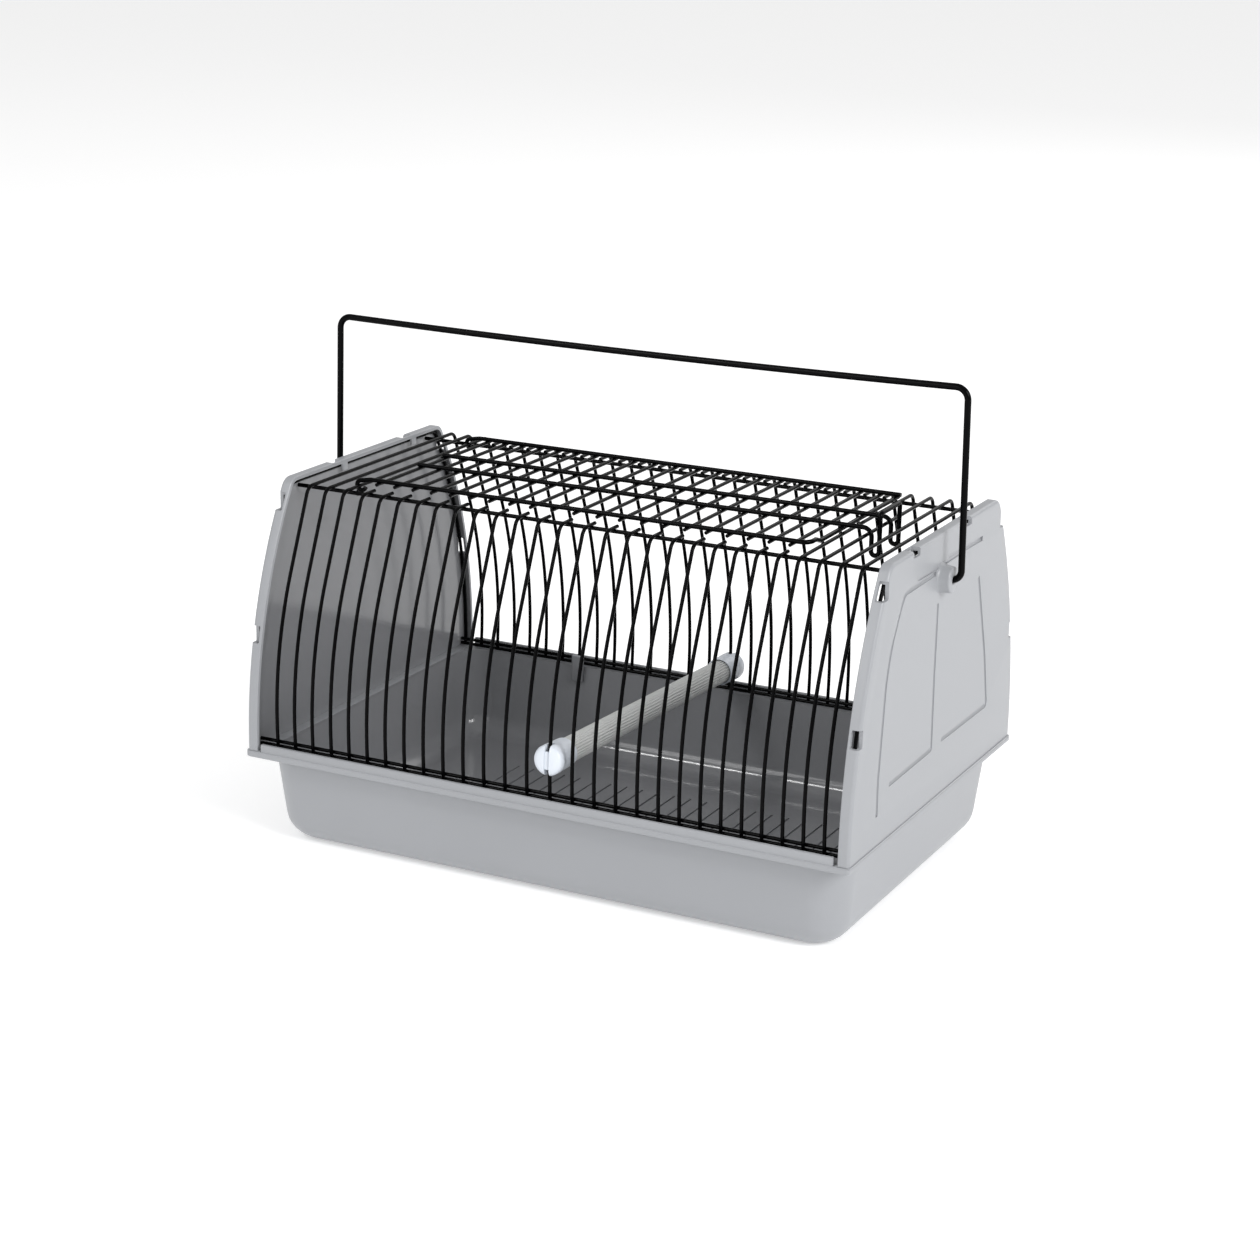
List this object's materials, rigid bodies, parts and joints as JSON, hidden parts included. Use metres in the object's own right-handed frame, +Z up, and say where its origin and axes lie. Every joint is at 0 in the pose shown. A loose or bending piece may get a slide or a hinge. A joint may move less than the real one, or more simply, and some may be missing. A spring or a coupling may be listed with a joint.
{
  "type": "small bird and rodent carrier cage",
  "caption": "Small animal carrier: drafted plastic tray, curved plastic end panels, barrel-shaped wire cage with sprung top door, clip-on perch and swinging wire bail.",
  "frame": {"origin": "on the floor under the middle of the tray", "axes": "+X along the long side towards the latch end, +Y to the back, +Z up"},
  "size_m": [0.3198, 0.2, 0.234],
  "materials": {
    "body_plastic": "satin moulded",
    "black_wire": "semi-gloss black coating",
    "perch_plastic": "matte, faintly textured",
    "clip_plastic": "semi-gloss white"
  },
  "bodies": {
    "tray": {"tray": "body_plastic"},
    "cage": {"left_end_panel": "body_plastic", "right_end_panel": "body_plastic", "front_grille": "black_wire", "back_grille": "black_wire", "left_edge_hoop": "black_wire", "right_edge_hoop": "black_wire", "hoop_bar_01": "black_wire", "hoop_bar_02": "black_wire", "hoop_bar_03": "black_wire", "hoop_bar_25": "black_wire", "hoop_bar_26": "black_wire", "hoop_bar_27": "black_wire", "hoop_bar_28": "black_wire"},
    "handle": {"handle_bail": "black_wire"},
    "door": {"top_door": "black_wire"},
    "latch": {"door_latch": "black_wire"},
    "perch": {"perch_rod": "perch_plastic", "perch_clip_front": "clip_plastic", "perch_clip_back": "clip_plastic"}
  },
  "joints": [
    {"name": "cage_lift", "type": "slide", "parent": "tray", "child": "cage", "axis": [0, 0, 1], "range_m": [0, 0.06]},
    {"name": "handle_swing", "type": "hinge", "parent": "cage", "child": "handle", "pos_m": [0, -0.005, 0.148], "axis": [1, 0, 0], "range_deg": [-91, 103]},
    {"name": "door_hinge", "type": "hinge", "parent": "cage", "child": "door", "pos_m": [-0.11742, 0, 0.16505], "axis": [0, -1, 0], "range_deg": [0, 12]},
    {"name": "latch_flex", "type": "hinge", "parent": "door", "child": "latch", "pos_m": [0.107, 0, 0.1682], "axis": [0, -1, 0], "range_deg": [0, 6], "stiffness_Nm_per_rad": 2},
    {"name": "perch_slide", "type": "slide", "parent": "cage", "child": "perch", "axis": [0, 0, 1], "range_m": [0, 0.01]}
  ]
}
